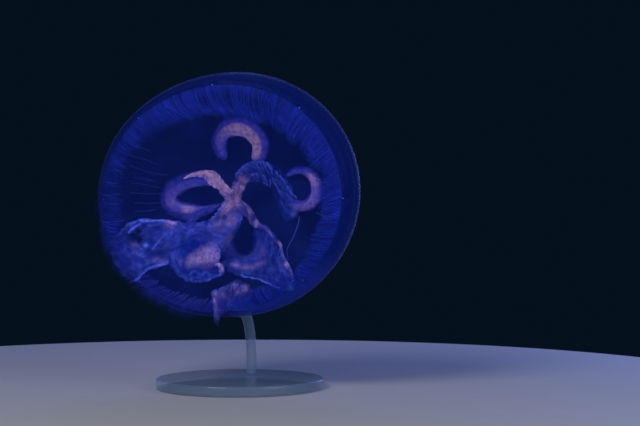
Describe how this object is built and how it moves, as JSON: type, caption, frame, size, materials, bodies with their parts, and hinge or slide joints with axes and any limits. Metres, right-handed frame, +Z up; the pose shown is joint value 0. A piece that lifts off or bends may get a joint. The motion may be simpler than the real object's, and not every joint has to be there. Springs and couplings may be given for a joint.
{
  "type": "moon jellyfish model",
  "caption": "Life-size still moon jellyfish seen into its mouth side, with bell, tentacle fringe, gonads and arms, on a clear stand.",
  "frame": {"origin": "middle of the bounding box at the underside of the stand's base, on the floor", "axes": "+Z up; the mouth side faces -Y, turned 18 degrees towards -X and nodding 10 degrees down; +X is to the right when looking along +Y"},
  "size_m": [0.202, 0.1408, 0.2412],
  "materials": {
    "bell_gel": "clear wet jelly, deep ultramarine",
    "fringe": "soft translucent threads",
    "sense_organ": "small opaque grains",
    "gonad": "soft folded tissue, peach over violet",
    "mouth": "wet translucent flesh, peach over violet",
    "arm": "thin frilled translucent sheets, blue violet with pale edges",
    "acrylic": "clear polished acrylic"
  },
  "bodies": {
    "root": {"bell_crown": "bell_gel", "bell_lobe_1": "bell_gel", "fringe_1": "fringe", "sense_organ_1": "sense_organ", "bell_lobe_2": "bell_gel", "fringe_2": "fringe", "sense_organ_2": "sense_organ", "bell_lobe_3": "bell_gel", "fringe_3": "fringe", "sense_organ_3": "sense_organ", "bell_lobe_4": "bell_gel", "fringe_4": "fringe", "sense_organ_4": "sense_organ", "bell_lobe_5": "bell_gel", "fringe_5": "fringe", "sense_organ_5": "sense_organ", "bell_lobe_6": "bell_gel", "fringe_6": "fringe", "sense_organ_6": "sense_organ", "bell_lobe_7": "bell_gel", "fringe_7": "fringe", "sense_organ_7": "sense_organ", "bell_lobe_8": "bell_gel", "fringe_8": "fringe", "sense_organ_8": "sense_organ", "gonad_top": "gonad", "gonad_right": "gonad", "gonad_bottom": "gonad", "gonad_left": "gonad", "manubrium": "mouth", "arm_upper_left_base": "arm", "arm_upper_left_tip": "arm", "arm_upper_right_base": "arm", "arm_upper_right_middle": "arm", "arm_upper_right_tip": "arm", "arm_lower_right_base": "arm", "arm_lower_right_middle": "arm", "arm_lower_right_tip": "arm", "arm_lower_right_veil": "arm", "arm_lower_left_base": "arm", "arm_lower_left_roll": "arm", "arm_lower_left_veil": "arm", "apron_upper": "arm", "apron_tip": "arm", "stand_base": "acrylic", "stand_rod": "acrylic", "stand_pad": "acrylic"}
  },
  "joints": []
}
